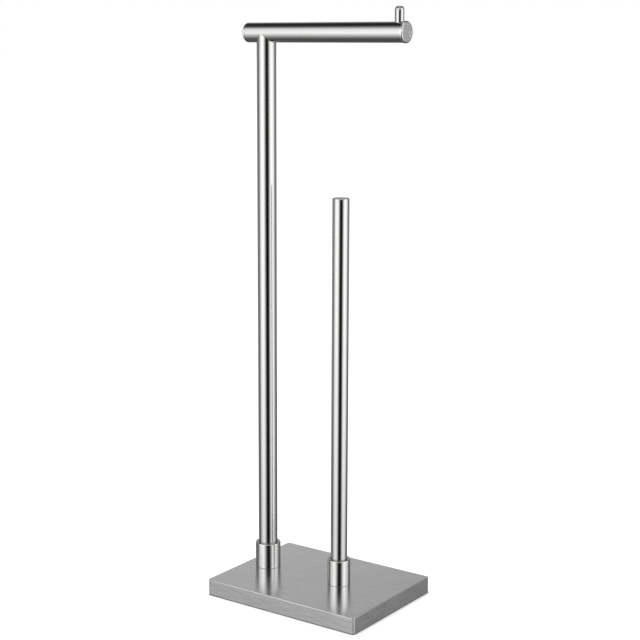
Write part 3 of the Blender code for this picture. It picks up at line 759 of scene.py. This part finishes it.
def dress(obj, material, slot, *nodes):
    """Last work on a piece: one closed skin, faces outward, its material, and its place in the frame."""
    bm = bmesh.new()
    bm.from_mesh(obj.data)
    bmesh.ops.remove_doubles(bm, verts=bm.verts, dist=MERGE)
    bmesh.ops.recalc_face_normals(bm, faces=bm.faces)
    bm.to_mesh(obj.data)
    bm.free()
    obj.data.materials.clear()
    obj.data.materials.append(material)
    for polygon in obj.data.polygons:
        polygon.material_index = 0
    obj.data.shade_smooth()
    obj.data.set_sharp_from_angle(angle=SHARP_ANGLE)
    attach(obj, BODY)
    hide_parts(*nodes)
    return obj


def turn(name, points, place, material, sides=ROUND_SIDES, **cuts):
    """A turned piece from a list of outline points, put in its place."""
    bm = bmesh.new()
    for point in points:
        bm.verts.new((point.x, 0, point.y))
    obj = new_object(name, mesh_from(name, bm))
    values = {"Sides": sides, "Material": material}
    values.update({label.replace("_", " ").title(): value for label, value in cuts.items()})
    grow(obj, LATHE, values)
    obj.data.transform(place)
    return obj


class Round:
    """Where a round piece of the frame lies: on its axis, how thick, and from where to where."""

    def __init__(self, node, axis="Z"):
        low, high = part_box(node)
        middle = (low + high) / 2
        self.axis = axis
        if axis == "Z":
            self.centre = Vector((middle.x, middle.y, 0))
            self.radius = (high.x - low.x) / 2
            self.start, self.end = low.z, high.z
        else:
            self.centre = Vector((0, middle.y, middle.z))
            self.radius = (high.z - low.z) / 2
            self.start, self.end = low.x, high.x

    def at(self, height=0.0):
        """The place of a piece modelled on its own Z, its zero at a height along the axis."""
        if self.axis == "Z":
            return Matrix.Translation(self.centre + Vector((0, 0, height)))
        lying = Matrix.Rotation(math.pi / 2, 4, "Y")
        return Matrix.Translation(self.centre + Vector((height, 0, 0))) @ lying


def tube(radius, wall, start, end, lower=0.0, upper=0.0):
    """Half outline of a tube, its two ends rounded inside and out."""
    inner = radius - wall
    corners = [(radius, end, upper), (radius, start, lower), (inner, start, lower), (inner, end, upper)]
    return held(softened(corners, True))


def make_socket(node, pole, material):
    """The collar on the plate: a turned cup with a softened rim."""
    cup = Round(node)
    cup.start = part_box("base_cover")[1].z
    bore = pole.radius + FIT_GAP
    height = cup.end - cup.start
    corners = [
        (bore, height, SOCKET_MOUTH_ROUNDING),
        (cup.radius, height, SOCKET_RIM_ROUNDING),
        (cup.radius, 0, SOCKET_FOOT_ROUNDING),
        (BOLT_HOLE_RADIUS, 0, 0),
        (BOLT_HOLE_RADIUS, SOCKET_FLOOR, 0),
        (bore, SOCKET_FLOOR, 0),
    ]
    obj = turn(f"{node}_turned", held(softened(corners, True)), cup.at(cup.start), material)
    return dress(obj, material, "socket_steel", node)


def make_main_pole(pole, arm, grub, material):
    """The tall tube. Its top is coped to the arm, and the grub screw's hole is behind."""
    points = tube(pole.radius, POLE_WALL, pole.start, arm.centre.z)
    obj = turn("main_pole_tube", points, pole.at(), material)
    hug = arm.radius + COPE_GAP
    for vert in obj.data.vertices:
        if vert.co.z > arm.centre.z - 2 * HOLD:
            across = vert.co.y - arm.centre.y
            vert.co.z -= math.sqrt(hug * hug - across * across)
    back = Matrix.Translation(grub.centre) @ Matrix.Rotation(-math.pi / 2, 4, "X")
    carve(obj, drill(grub.radius + FIT_GAP, pole.radius + OVERRUN, back))
    return dress(obj, material, "pole_steel", "main_pole")


def make_reserve_pole(pole, cap, material):
    """The short tube, up to its cap."""
    points = tube(pole.radius, POLE_WALL, pole.start, cap.end - CAP_HEAD_HEIGHT, 0.0, SEAM_ROUNDING)
    obj = turn("reserve_pole_tube", points, pole.at(), material)
    return dress(obj, material, "pole_steel", "reserve_pole")


def make_reserve_cap(cap, pole, material):
    """Flush cap of the short pole, with its spigot inside the tube."""
    spigot = pole.radius - POLE_WALL - FIT_GAP
    depth = cap.end - cap.start
    corners = [
        (0, depth, 0),
        (cap.radius, depth, CAP_ROUNDING),
        (cap.radius, depth - CAP_HEAD_HEIGHT, SEAM_ROUNDING),
        (spigot, depth - CAP_HEAD_HEIGHT, 0),
        (spigot, 0, TUBE_END_ROUNDING),
        (0, 0, 0),
    ]
    obj = turn("reserve_pole_top", held(softened(corners, False)), cap.at(cap.start), material)
    return dress(obj, material, "cap_steel", "reserve_pole_cap")


def make_arm(arm, pin, pole, material):
    """The horizontal tube, with the stop pin's hole above and the stud's below."""
    edge = TUBE_END_ROUNDING / 2
    points = tube(arm.radius, ARM_WALL, arm.start, arm.end, edge, edge)
    obj = turn("arm_tube_ground", points, arm.at(), material)
    above = Matrix.Translation((pin.centre.x, 0, arm.centre.z))
    below = Matrix.Translation((pole.centre.x, 0, arm.centre.z - arm.radius - OVERRUN))
    carve(
        obj,
        drill(pin.radius + PIN_HOLE_GAP, arm.radius + OVERRUN, above),
        drill(STUD_HOLE_RADIUS, arm.radius, below),
    )
    return dress(obj, material, "arm_steel", "arm_tube")


def faced_cap(name, cap, spigot, head, roundings, place, material):
    """A cap faced on a lathe, its face at zero: centre hole, fine rings, a head and a spigot behind it."""
    depth = cap.end - cap.start
    at_face, at_back = roundings
    corners = [
        (0, -CENTRE_HOLE_DEPTH, 0),
        (CENTRE_HOLE_RADIUS, -CENTRE_HOLE_DEPTH, 0),
        (CENTRE_HOLE_RADIUS, 0, 0),
        (cap.radius, 0, at_face),
        (cap.radius, -head, at_back),
        (spigot, -head, 0),
        (spigot, -depth, 0),
        (0, -depth, 0),
    ]
    reach = cap.radius - at_face
    points = with_rows(held(softened(corners, False)), -MERGE, MERGE, FACE_RING_PITCH / STEPS_PER_FACE_RING)
    return turn(
        name, points, place, material,
        ring_pitch=FACE_RING_PITCH, ring_depth=FACE_RING_DEPTH, ring_reach=reach - HOLD, ring_face=0.0,
    )


def make_front_cap(cap, arm, pin, material):
    """The flanged end plug, with the pin's stepped hole through its spigot."""
    spigot = arm.radius - ARM_WALL - FIT_GAP
    roundings = (FLANGE_FACE_ROUNDING, FLANGE_BACK_ROUNDING)
    obj = faced_cap("arm_end_cap", cap, spigot, FLANGE_THICKNESS, roundings, cap.at(cap.end), material)
    body = Matrix.Translation((pin.centre.x, 0, pin.start_of_body - FIT_GAP))
    shank = Matrix.Translation((pin.centre.x, 0, pin.start - FIT_GAP))
    carve(
        obj,
        drill(pin.radius + FIT_GAP, arm.radius, body),
        drill(PIN_SHANK_RADIUS + FIT_GAP, arm.radius, shank),
    )
    return dress(obj, material, "cap_steel", "arm_front_cap")


def make_rear_cap(cap, material):
    """The round-edged cap in the arm's rear end, with its spigot inside the tube."""
    spigot = cap.radius - ARM_WALL - FIT_GAP
    roundings = (REAR_CAP_ROUNDING, TUBE_END_ROUNDING / 2)
    place = cap.at(cap.start) @ Matrix.Rotation(math.pi, 4, "X")
    obj = faced_cap("arm_rear_disc", cap, spigot, REAR_HEAD_HEIGHT, roundings, place, material)
    return dress(obj, material, "cap_steel", "arm_rear_cap")


def make_stop_pin(pin, material):
    """The round-topped pin, with its thinner shank inside the arm."""
    corners = [
        (0, pin.end, 0),
        (pin.radius, pin.end - PIN_CROWN, PIN_ROUNDING),
        (pin.radius, pin.start_of_body, 0),
        (PIN_SHANK_RADIUS, pin.start_of_body, 0),
        (PIN_SHANK_RADIUS, pin.start, PIN_SHANK_CHAMFER),
        (0, pin.start, 0),
    ]
    obj = turn("stop_pin_polished", held(softened(corners, False)), pin.at(), material, SMALL_SIDES)
    return dress(obj, material, "pin_steel", "stop_pin")


def make_base_screw(node, material):
    """A cap screw seen through the pad: knurled head, hexagon socket and rolled thread."""
    screw = Round(node)
    length = screw.end - screw.start
    corners = [
        (0, length, 0),
        (SCREW_RADIUS, length, SCREW_CHAMFER),
        (SCREW_RADIUS, SCREW_HEAD_HEIGHT, 0),
        (screw.radius, SCREW_HEAD_HEIGHT, SCREW_CHAMFER / 2),
        (screw.radius, 0, SCREW_CHAMFER),
        (0, 0, 0),
    ]
    rows_per_turn = 8
    thread_start = SCREW_HEAD_HEIGHT + SCREW_THREAD_PITCH
    pitch = SCREW_THREAD_PITCH / rows_per_turn
    points = with_rows(held(softened(corners, False)), SCREW_HEAD_HEIGHT, length, pitch)
    obj = turn(
        f"{node}_rolled", points, screw.at(screw.start), material, SMALL_SIDES * 2,
        thread_pitch=SCREW_THREAD_PITCH, thread_depth=SCREW_THREAD_DEPTH, thread_low=thread_start,
        thread_high=length, knurl_count=KNURL_COUNT, knurl_depth=KNURL_DEPTH,
        knurl_low=SCREW_CHAMFER * 2, knurl_high=SCREW_HEAD_HEIGHT - SCREW_CHAMFER,
    )
    key = screw.at(screw.start - OVERRUN)
    carve(obj, drill(SCREW_KEY_SIZE / math.sqrt(3), SCREW_KEY_DEPTH + OVERRUN, key, HEX_SIDES))
    return dress(obj, material, "zinc_steel", node)


def make_grub_screw(material):
    """The grub screw behind the pole, with its hexagon socket outward."""
    low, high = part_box("joint_grub_screw")
    middle = (low + high) / 2
    radius = (high.x - low.x) / 2
    length = high.y - low.y
    tip = radius - GRUB_TIP_RADIUS
    corners = [
        (0, length, 0),
        (radius, length, GRUB_EDGE_ROUNDING),
        (radius, tip, 0),
        (GRUB_TIP_RADIUS, 0, 0),
        (0, 0, 0),
    ]
    rows_per_turn = 6
    pitch = GRUB_THREAD_PITCH / rows_per_turn
    points = with_rows(held(softened(corners, False)), tip, length, pitch)
    back = Matrix.Rotation(-math.pi / 2, 4, "X")
    place = Matrix.Translation((middle.x, low.y, middle.z)) @ back
    obj = turn(
        "joint_grub_screw_rolled", points, place, material, SMALL_SIDES,
        thread_pitch=GRUB_THREAD_PITCH, thread_depth=GRUB_THREAD_DEPTH, thread_low=tip,
        thread_high=length - GRUB_THREAD_PITCH / 2,
    )
    key = Matrix.Translation((middle.x, high.y - GRUB_KEY_DEPTH, middle.z)) @ back
    carve(obj, drill(GRUB_KEY_SIZE / math.sqrt(3), GRUB_KEY_DEPTH + OVERRUN, key, HEX_SIDES))
    return dress(obj, material, "zinc_steel", "joint_grub_screw")


def plate(name, low, high, corner, edge=None, open_below=False):
    """A flat plate with round upright corners and, where asked, an oval top edge and no floor."""
    bm = bmesh.new()
    middle = (low + high) / 2
    size = high - low
    place = Matrix.Translation(middle) @ Matrix.Diagonal((size.x, size.y, size.z, 1))
    bmesh.ops.create_cube(bm, size=1, matrix=place)
    upright = [e for e in bm.edges if (e.verts[0].co.z - middle.z) * (e.verts[1].co.z - middle.z) < 0]
    bmesh.ops.bevel(bm, geom=upright, offset=corner, segments=CORNER_STEPS, profile=0.5, affect="EDGES")
    if edge:
        drop, reach = edge
        squeezed = Matrix.Diagonal((1, 1, reach / drop, 1))
        rim = [e for e in bm.edges if all(vert.co.z > middle.z for vert in e.verts)]
        bmesh.ops.transform(bm, matrix=squeezed, verts=bm.verts)
        bmesh.ops.bevel(bm, geom=rim, offset=reach, segments=FILLET_STEPS, profile=0.5, affect="EDGES")
        bmesh.ops.transform(bm, matrix=squeezed.inverted(), verts=bm.verts)
    if open_below:
        floor = [face for face in bm.faces if all(vert.co.z < middle.z for vert in face.verts)]
        bmesh.ops.delete(bm, geom=floor, context="FACES_ONLY")
    flat = [face for face in bm.faces if face.calc_area() > FLAT_AREA]
    bmesh.ops.inset_individual(bm, faces=flat, thickness=HOLD, use_even_offset=True)
    return new_object(name, mesh_from(name, bm))


def make_cover(poles, material):
    """The pressed cover, open below, with a bolt hole under each socket."""
    low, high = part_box("base_cover")
    edge = (BASE_EDGE_DROP, BASE_EDGE_REACH)
    obj = plate("base_cover_pressed", low, high, BASE_CORNER, edge, open_below=True)
    wall = obj.modifiers.new("Wall", "SOLIDIFY")
    wall.thickness = COVER_WALL
    wall.offset = -1
    wall.use_even_offset = True
    settle(obj)
    start = Matrix.Translation((0, 0, high.z - COVER_WALL - OVERRUN))
    carve(obj, *[drill(BOLT_HOLE_RADIUS, COVER_WALL + 2 * OVERRUN, pole.at() @ start) for pole in poles])
    return dress(obj, material, "plate_steel", "base_cover")


def step_in(bm, upper, inset, rise):
    """Insets the top or the underside of a plate and moves what is inside up or in by a small step."""
    faces = [face for face in bm.faces if face.calc_area() > FLAT_AREA and (face.normal.z > 0) == upper]
    bmesh.ops.inset_region(bm, faces=faces, thickness=inset, use_even_offset=True)
    bmesh.ops.inset_region(bm, faces=faces, thickness=PAD_SLOPE, depth=rise, use_even_offset=True)


def make_pad(poles, material):
    """The rubber pad with its lip and key holes, and moulded pips in a shallow recess underneath."""
    low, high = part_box("base_pad")
    lip_high = Vector((high.x, high.y, low.z + PAD_LIP_HEIGHT))
    obj = plate("base_pad_moulded", low, lip_high, PAD_CORNER)
    bm = bmesh.new()
    bm.from_mesh(obj.data)
    step_in(bm, True, PAD_LIP_WIDTH - HOLD - PAD_SLOPE, high.z - lip_high.z)
    step_in(bm, False, PAD_BORDER, -PAD_PIP_HEIGHT)
    bm.to_mesh(obj.data)
    bm.free()
    carve(obj, *[drill(PAD_HOLE_RADIUS, high.z + 2 * OVERRUN, pole.at(-OVERRUN)) for pole in poles])
    pips = new_object("pips", mesh_from("pips", bmesh.new()))
    values = {
        "Length": high.x - low.x - 2 * PAD_PIP_MARGIN,
        "Width": high.y - low.y - 2 * PAD_PIP_MARGIN,
        "First Hole": poles[0].centre.x,
        "Second Hole": poles[1].centre.x,
        "Hole Room": PAD_HOLE_RADIUS + 2 * PAD_PIP_RADIUS,
        "Material": material,
    }
    grow(pips, pip_tree(), values)
    bm = bmesh.new()
    bm.from_mesh(obj.data)
    bm.from_mesh(pips.data)
    bm.to_mesh(obj.data)
    bm.free()
    bpy.data.objects.remove(pips)
    return dress(obj, material, "pad_rubber", "base_pad")


def over_bearing(stops):
    """Stops by bearing, 0 to 180 degrees, as places on a ramp."""
    return [(angle / 180, level) for angle, level in stops]


def over_elevation(stops):
    """Stops by elevation, -90 to 90 degrees, as places on a ramp."""
    return [((angle + 90) / 180, level) for angle, level in stops]


def white_room():
    """The studio: white to the camera, a soft light to matt things, graded walls and flags to metal."""
    world = bpy.data.worlds.new("white_room")
    world.use_nodes = True
    bpy.context.scene.world = world
    sheet = Sheet(world.node_tree)
    x, y, z = sheet.split(sheet.node("ShaderNodeTexCoord").outputs["Generated"])
    above_zero = 0.0001
    horizontal = sheet.maths("SQRT", sheet.maths("MAXIMUM", 1 - z * z, above_zero))
    toward = (x * math.sin(ROOM_AZIMUTH) - y * math.cos(ROOM_AZIMUTH)) / horizontal
    bearing = sheet.maths("ARCCOSINE", sheet.maths("MINIMUM", sheet.maths("MAXIMUM", toward, -1.0), 1.0))
    elevation = sheet.maths("ARCSINE", z)
    away = bearing / math.pi
    height = elevation / math.pi + 0.5
    behind = sheet.maths("MAXIMUM", 0 - toward, 0.0)
    raised = height + (height - 0.5) * behind * ROOM_TILT
    path = sheet.node("ShaderNodeLightPath").outputs
    first = Wire(sheet, path["Glossy Depth"]) < FIRST_BOUNCE_END
    near_top = sheet.ramp(height, over_elevation(NEAR_FLAG_TOP))
    top = sheet.ramp(height, over_elevation(FLAG_TOP)) * (1 - first) + near_top * first
    low = sheet.ramp(height, over_elevation(LOW))
    high = sheet.ramp(height, over_elevation(HIGH))
    front = sheet.ramp(away, over_bearing(FRONT_FLAG)) * (1 - top) + top
    level_with = sheet.ramp(away, over_bearing(SIDE_FLAGS)) * (1 - low - high)
    dimming = sheet.ramp(away, over_bearing(NEAR_DIMMING)) * first + (1 - first)
    sides = level_with + low * LOW_FLAGS + sheet.ramp(away, over_bearing(HIGH_FLAGS)) * high * dimming
    walls = front * sides * sheet.ramp(raised, over_elevation(WALLS))
    ceiling = sheet.ramp(height, over_elevation(CEILING))
    metal = (walls * (1 - ceiling) + ceiling * CEILING_LEVEL) * ROOM_LEVEL
    mirror = sheet.maths("MAXIMUM", path["Is Glossy Ray"], path["Is Transmission Ray"])
    seen = Wire(sheet, path["Is Camera Ray"])
    diffuse = (1 - seen) * (1 - mirror) * SOFT_LEVEL
    strength = seen + mirror * metal + diffuse
    back = world.node_tree.nodes["Background"]
    back.inputs["Color"].default_value = (1, 1, 1, 1)
    sheet.plug(strength, back.inputs["Strength"])


def white_floor():
    """A pale floor that keeps the holder's shadow, its glow darkened next to the holder as painted contact
    shade. Metal looks past it, into the room.
    """
    bm = bmesh.new()
    bmesh.ops.create_grid(bm, x_segments=1, y_segments=1, size=FLOOR_REACH)
    obj = new_object("floor", mesh_from("floor", bm))
    material = bpy.data.materials.new("floor_white")
    material.use_nodes = True
    sheet = Sheet(material.node_tree)
    shader = material.node_tree.nodes["Principled BSDF"]
    shader.inputs["Base Color"].default_value = (FLOOR_COLOUR, FLOOR_COLOUR, FLOOR_COLOUR, 1)
    shader.inputs["Roughness"].default_value = 1
    shader.inputs["Specular IOR Level"].default_value = 0
    shader.inputs["Emission Color"].default_value = (1, 1, 1, 1)
    seen = Wire(sheet, sheet.node("ShaderNodeLightPath").outputs["Is Camera Ray"])
    # The floor's glow fades where ambient occlusion finds the holder close by: painted contact shade.
    settings = {"samples": CONTACT_SHADE_SAMPLES}
    contact_shade = sheet.node("ShaderNodeAmbientOcclusion", settings, {"Distance": CONTACT_SHADE_REACH})
    open_share = Wire(sheet, contact_shade.outputs["AO"])
    sheet.plug(seen * FLOOR_GLOW * open_share * open_share, shader.inputs["Emission Strength"])
    obj.data.materials.append(material)
    obj.visible_glossy = False


def soft_lamp():
    """One wide lamp, high and to the left, for the floor's soft shadow."""
    lamp = bpy.data.lights.new("soft_lamp", "AREA")
    lamp.shape = "DISK"
    lamp.size = LAMP_SIZE
    lamp.energy = LAMP_POWER
    obj = bpy.data.objects.new("soft_lamp", lamp)
    bpy.context.scene.collection.objects.link(obj)
    obj.location = LAMP_PLACE
    obj.rotation_euler = (-Vector(LAMP_PLACE)).to_track_quat("-Z", "Y").to_euler()
    obj.visible_glossy = False


def photo_camera():
    """The photograph's own view."""
    camera = bpy.data.cameras.new("camera")
    camera.lens = CAMERA_LENS
    camera.shift_x = CAMERA_SHIFT
    camera.dof.use_dof = False
    obj = bpy.data.objects.new("camera", camera)
    bpy.context.scene.collection.objects.link(obj)
    obj.location = CAMERA_PLACE
    obj.rotation_euler = (math.pi / 2 - CAMERA_PITCH, 0, CAMERA_AZIMUTH)
    bpy.context.scene.camera = obj


main_pole = Round("main_pole")
reserve_pole = Round("reserve_pole")
arm = Round("arm_tube", "X")
front_cap = Round("arm_front_cap", "X")
rear_cap = Round("arm_rear_cap", "X")
reserve_cap = Round("reserve_pole_cap")
stop_pin = Round("stop_pin")
stop_pin.start_of_body = arm.centre.z + arm.radius - PIN_SINK
poles = (main_pole, reserve_pole)

grub = Round("joint_grub_screw")
grub.centre = Vector((main_pole.centre.x, 0, (grub.start + grub.end) / 2))

LATHE = lathe_tree()

zinc = zinc_plate("zinc_plated_steel", ZINC_COLOUR)
black_primer = primer("black_primer", PAINT_COLOUR)
black_rubber = rubber("black_rubber", RUBBER_COLOUR)
main_steel = ground_steel("main_pole_steel", main_pole.centre, "Z", POLE_COLOUR, POLE_ROUGHNESS)
reserve_steel = ground_steel("reserve_pole_steel", reserve_pole.centre, "Z", POLE_COLOUR, POLE_ROUGHNESS)
arm_steel = ground_steel("arm_steel", arm.centre, "X", POLE_COLOUR, ARM_ROUGHNESS)
main_socket_steel = ground_steel(
    "main_socket_steel", main_pole.centre, "Z", SOCKET_COLOUR, SOCKET_ROUGHNESS, SOCKET_END_SHADE_SHARE
)
reserve_socket_steel = ground_steel(
    "reserve_socket_steel", reserve_pole.centre, "Z", SOCKET_COLOUR, SOCKET_ROUGHNESS, SOCKET_END_SHADE_SHARE
)
pin_steel = ground_steel("stop_pin_steel", stop_pin.centre, "Z", PIN_COLOUR, PIN_ROUGHNESS)
arm_cap_steel = turned_steel("arm_cap_steel", arm.centre, "X", CAP_COLOUR, RIM_COLOUR, RIM_ROUGHNESS)
reserve_cap_steel = turned_steel(
    "reserve_cap_steel", reserve_pole.centre, "Z", CAP_COLOUR, POLE_COLOUR, POLE_ROUGHNESS
)
cover_steel = plate_steel("cover_steel", PLATE_COLOUR, PLATE_ROUGHNESS)

photo_camera()
white_room()
white_floor()
soft_lamp()

make_cover(poles, cover_steel)
make_pad(poles, black_rubber)
make_socket("main_socket", main_pole, main_socket_steel)
make_socket("reserve_socket", reserve_pole, reserve_socket_steel)
make_main_pole(main_pole, arm, grub, main_steel)
make_reserve_pole(reserve_pole, reserve_cap, reserve_steel)
make_reserve_cap(reserve_cap, reserve_pole, reserve_cap_steel)
make_arm(arm, stop_pin, main_pole, arm_steel)
make_front_cap(front_cap, arm, stop_pin, arm_cap_steel)
make_rear_cap(rear_cap, arm_cap_steel)
make_stop_pin(stop_pin, pin_steel)
make_grub_screw(zinc)
make_base_screw("main_base_screw", zinc)
make_base_screw("reserve_base_screw", zinc)

# Hidden fittings keep their CAD shape and get their finish
HIDDEN = {
    black_primer: ("base_weight",),
    zinc: (
        "arm_block", "arm_stud", "pole_top_plug", "main_foot_plug", "reserve_foot_plug",
        "main_flat_washer", "reserve_flat_washer", "main_spring_washer", "reserve_spring_washer",
    ),
}
for material, names in HIDDEN.items():
    for name in names:
        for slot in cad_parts[name].material_slots:
            slot.material = material

bpy.context.scene.view_settings.view_transform = "Standard"
